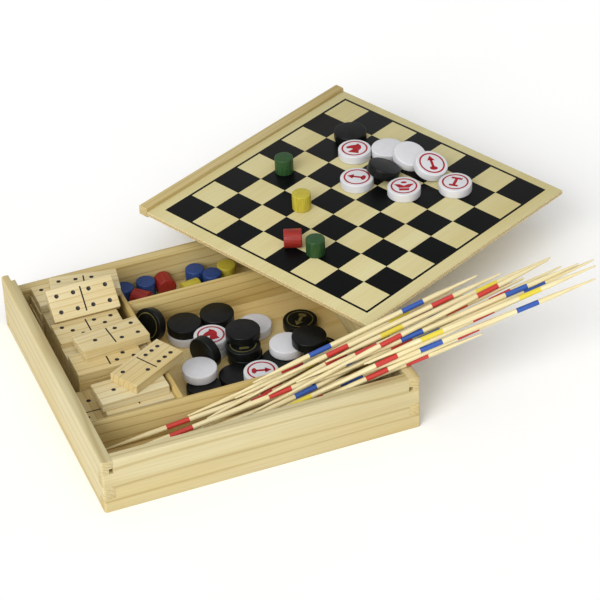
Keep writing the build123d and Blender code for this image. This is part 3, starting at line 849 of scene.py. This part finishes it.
# sprayed white: nearly neutral, with a soft gloss
WHITE = lacquer("white_lacquer", "cccccf", "d0d0d3", 0.4, Coat_Weight=0.1, Coat_Roughness=0.2)
# sprayed black: deep, with a weak sheen
BLACK = lacquer("black_lacquer", "080a09", "101211", 0.32, Specular_IOR_Level=0.2)
# stamped red ink: matt
RED_INK = lacquer("red_stamp_ink", "921720", "a6232b", 0.55, Specular_IOR_Level=0.2)
# stamped foil: glints like brass
GOLD_INK = lacquer("gold_stamp_foil", "77703f", "97905a", 0.45, Metallic=0.7)
print("turned sides have a tool mark every", TOOL_STEP, "mm")

# %% [markdown]
# A man is a lathe shape round its solid's shortest axis. Its print is laid out in the same directions, so
# it stays on the face however the man leans. Not every man shows its stamped side.

# %% Men
MAN_RADIUS, MAN_HEIGHT = 12.75, 7.3  # mm
RIM = 0.9  # mm, radius of a turned rim
FIGURE_SIZE = 7.7  # mm for one unit of the figures' outlines
RING_RADIUS = 9.5  # mm, middle of the stamped ring
FACE_TO = (-0.3, -0.6, 0.75)  # a loose piece's upper face looks this way: left, front and up
# lacquer, ink and width of the stamped ring in mm, which is finer in foil
COATS = {"white": (WHITE, RED_INK, 1.3), "black": (BLACK, GOLD_INK, 0.7)}


def turned(radius, height, sides):
    """A turned piece about the origin: flat ends, a straight side, and quarter-round rims."""
    bend = np.linspace(0, np.pi / 2, 5)
    low = np.stack([radius - RIM + RIM * np.sin(bend), RIM - RIM * np.cos(bend)], axis=1)
    high = np.stack([radius - RIM + RIM * np.cos(bend), height - RIM + RIM * np.sin(bend)], axis=1)
    points, faces = lathe(np.concatenate([low, high]), sides)
    return points - [0, 0, height / 2], faces


def place_part(points, faces, material, turn, middle, seed, order=(0, 1, 2)):
    """Lay one part where its solid lies. Order says which of its axes are the wood's, the grain first."""
    wood = points + np.array([61.0 * seed, 13.0 * math.sin(seed), 17.0 * math.cos(seed)])
    return points @ turn + middle, faces, [material] * len(faces), wood[:, order]


def man_parts(cloud, figure, spin, seed, line):
    """A turned disc and its print, which is turned by spin degrees; line is the width of its ring."""
    middle, axes = axes_of(cloud)
    up = facing(axes[2], FACE_TO)
    side = unit(RIGHT - up * np.dot(RIGHT, up))
    turn = np.array([side, np.cross(up, side), up])
    parts = [place_part(*turned(MAN_RADIUS, MAN_HEIGHT, 64), 0, turn, middle, seed)]
    if figure:
        angle = math.radians(spin)
        swing = np.array([[math.cos(angle), math.sin(angle)], [-math.sin(angle), math.cos(angle)]])
        outlines = [np.array(outline) * FIGURE_SIZE @ swing for outline in FIGURES[figure]]
        prints = [slip(outline, MAN_HEIGHT / 2) for outline in outlines]
        prints += [ring_slip(RING_RADIUS - line / 2, RING_RADIUS + line / 2, MAN_HEIGHT / 2)]
        parts += [place_part(*piece, 1, turn, middle, seed) for piece in prints]
    return parts


def men(node, name, figures):
    """All men of one node. Figures lists (figure, spin) from left to right; None leaves the face plain."""
    colour = node.split("_")[0]
    coat, ink, line = COATS[colour]
    parts = []
    for number, (cloud, (figure, spin)) in enumerate(zip(solids(node), figures)):
        parts += man_parts(cloud, figure, spin, number + len(name), line)
    print(name, len(solids(node)), "men, print listed for", len(figures))
    return dress(write_mesh(name, parts, (coat, ink)), node)


PLAIN = (None, 0)
men("white_men", "men_white_tray",
    [PLAIN, PLAIN, ("pawn", 0), ("knight", 20), PLAIN, ("bishop", -85), PLAIN, PLAIN, PLAIN])
men("black_men", "men_black_tray",
    [("ring", 0), *[PLAIN] * 5, ("rook", 10), ("bishop", 0), *[PLAIN] * 4, ("pawn", 0)])
men("black_man_by_lid", "man_black_by_lid", [("bishop", 160)])
men("white_men_on_lid", "men_white_lid",
    [("bishop", 75), ("knight", -15), ("queen", 0), PLAIN, PLAIN, ("bishop", 15), ("rook", -20)])
men("black_men_on_lid", "men_black_lid", [PLAIN, PLAIN])

# %% [markdown]
# ## Pawns
# The pawns for the race games are short lengths of dowel, stained and then lacquered. Stain sinks deeper
# into soft wood, so faint streaks run along the dowel. An even colour would look like plastic.

# %% Pawns
PAWN_RADIUS, PAWN_HEIGHT = 7.2, 13.6  # mm
UPRIGHT = (2, 0, 1)  # the grain of dowels and rods runs along their own third axis


def stained(name, deep, bright):
    """Stained dowel: streaks along its length from deep to bright, under a thin satin lacquer."""
    material, tree = blank_material(name)
    streak = add(tree, "TexNoise", wood_coordinates(tree, stretch=14.0, per_mm=1.3), Scale=1.0, Detail=3.0)
    colour = add(tree, "ValToRGB", streak, stops=[(0.3, deep), (0.68, bright)])
    relief = add(tree, "Bump", Strength=0.2, Distance=0.0001, Height=streak.outputs["Fac"])
    dowel = add(tree, "BsdfPrincipled", colour, Roughness=0.42, IOR=1.5, Specular_IOR_Level=0.3,
                Normal=relief)
    add(tree, "OutputMaterial", dowel)
    return material


TONES = {"blue": ("1d3060", "304c86"), "red": ("741b16", "9d2c23"),
         "yellow": ("a39325", "c0b241"), "green": ("1a381b", "31552c")}
STAINS = {colour: stained(colour + "_stained_dowel", *tones) for colour, tones in TONES.items()}


def pawns(node, colour):
    """All pawns of one node, each laid along the direction in which its solid spreads most."""
    parts = []
    for number, cloud in enumerate(solids(node)):
        middle, axes = axes_of(cloud)
        up = facing(axes[0], FACE_TO)
        side = unit(np.cross(up, axes[1]))
        turn = np.array([side, np.cross(up, side), up])
        seed = number + len(node)
        parts.append(place_part(*turned(PAWN_RADIUS, PAWN_HEIGHT, 48), 0, turn, middle, seed, UPRIGHT))
    return dress(write_mesh(node + "_dowel", parts, (STAINS[colour],)), node)


pawn_nodes = [node for node in sorted(NODES) if node.startswith("pawn")]
for node in pawn_nodes:
    pawns(node, node.split("_")[1])
print("pawn nodes:", len(pawn_nodes))

# %% [markdown]
# ## Pick-up sticks
# Each stick is a thin birch rod, pointed at both ends, with a painted band near each point that gives its
# value. It is a lathe shape laid on its side. The band could be a sleeve of its own, but paint has no
# thickness to see, so it is in the material: a point is painted when its distance from the nearer end is
# within half the band's width of the band's middle. The middle differs from stick to stick, as by hand.

# %% Sticks
STICK_LENGTH, STICK_RADIUS = 180.0, 1.9  # mm
TAPER = 34.0  # mm from the tip to where the rod has its full width
TIP = ([0.0, 0.4, 1.2], [0.25, 0.5, 0.64])  # mm, heights and radii of the rounded tip
BAND_MIDDLE, BAND_HALF = 52.0, 8.5  # mm from the tip, and half the band's width
BAND_SHIFT = 4.0  # mm by which hand-painted bands differ at most
rng = np.random.default_rng(7)


def banded(name, paint):
    """Bare sanded birch, pale and matt, with a painted band near each end."""
    material, tree = blank_material(name)
    place = add(tree, "SeparateXYZ", add(tree, "Attribute", attribute_name="band").outputs["Vector"])
    from_far_end = add(tree, "Math", STICK_LENGTH, place.outputs["X"], operation="SUBTRACT")
    to_end = add(tree, "Math", place.outputs["X"], from_far_end, operation="MINIMUM")
    beside = add(tree, "Math", to_end, place.outputs["Y"], operation="SUBTRACT")
    off = add(tree, "Math", beside, operation="ABSOLUTE")
    inside = add(tree, "Math", off, BAND_HALF, operation="LESS_THAN")
    streak = add(tree, "TexNoise", wood_coordinates(tree, stretch=40.0, per_mm=1.6), Scale=1.0, Detail=3.0)
    wood = add(tree, "ValToRGB", streak, stops=[(0.28, "d0bf8e"), (0.5, "e0d2a2"), (0.75, "ebdfb6")])
    colour = add(tree, "Mix", inside, wood, linear(paint), data_type="RGBA")
    relief = add(tree, "Bump", Strength=0.2, Distance=0.0001, Height=streak.outputs["Fac"])
    add(tree, "OutputMaterial", add(tree, "BsdfPrincipled", colour, Roughness=0.5, IOR=1.5, Normal=relief))
    return material


def sticks(node, paint):
    """All sticks of one node: a turned rod with tapered ends along its solid's longest axis."""
    heights, radii = TIP
    # more rings than the shape needs, so that the shading stays even along the rod
    rise = np.array([*heights, 12.0, 24.0, TAPER, 40.0, 66.0, STICK_LENGTH / 2])
    wide = np.interp(rise, [*heights, TAPER], [*radii, STICK_RADIUS])
    profile = np.stack([np.r_[wide, wide[-2::-1]], np.r_[rise, STICK_LENGTH - rise[-2::-1]]], axis=1)
    points, faces = lathe(profile, 12)
    centred = points - [0, 0, STICK_LENGTH / 2]
    parts, bands = [], []
    for number, cloud in enumerate(solids(node)):
        middle, axes = axes_of(cloud)
        long = facing(axes[0], X)
        side = unit(np.cross(long, Z))
        turn = np.array([side, np.cross(long, side), long])
        ends = cloud @ long
        middle = middle + long * ((ends.max() + ends.min()) / 2 - middle @ long)
        parts.append(place_part(centred, faces, 0, turn, middle, number + len(node), UPRIGHT))
        # first the distance along the rod, then where this rod's bands are
        band = BAND_MIDDLE + rng.uniform(-BAND_SHIFT, BAND_SHIFT)
        bands.append(points[:, 2:] * [1.0, 0.0, 0.0] + [0.0, band, 0.0])
    item = write_mesh(node + "_rods", parts, (paint,), sharp=60.0)
    write_vectors(item.data, "band", np.concatenate(bands))
    print(item.name, len(parts), "rods")
    return dress(item, node)


for colour, paint in (("red", "be342c"), ("blue", "2b52a2"), ("yellow", "d8c53a")):
    sticks("sticks_" + colour, banded(f"birch_rod_{colour}_band", paint))
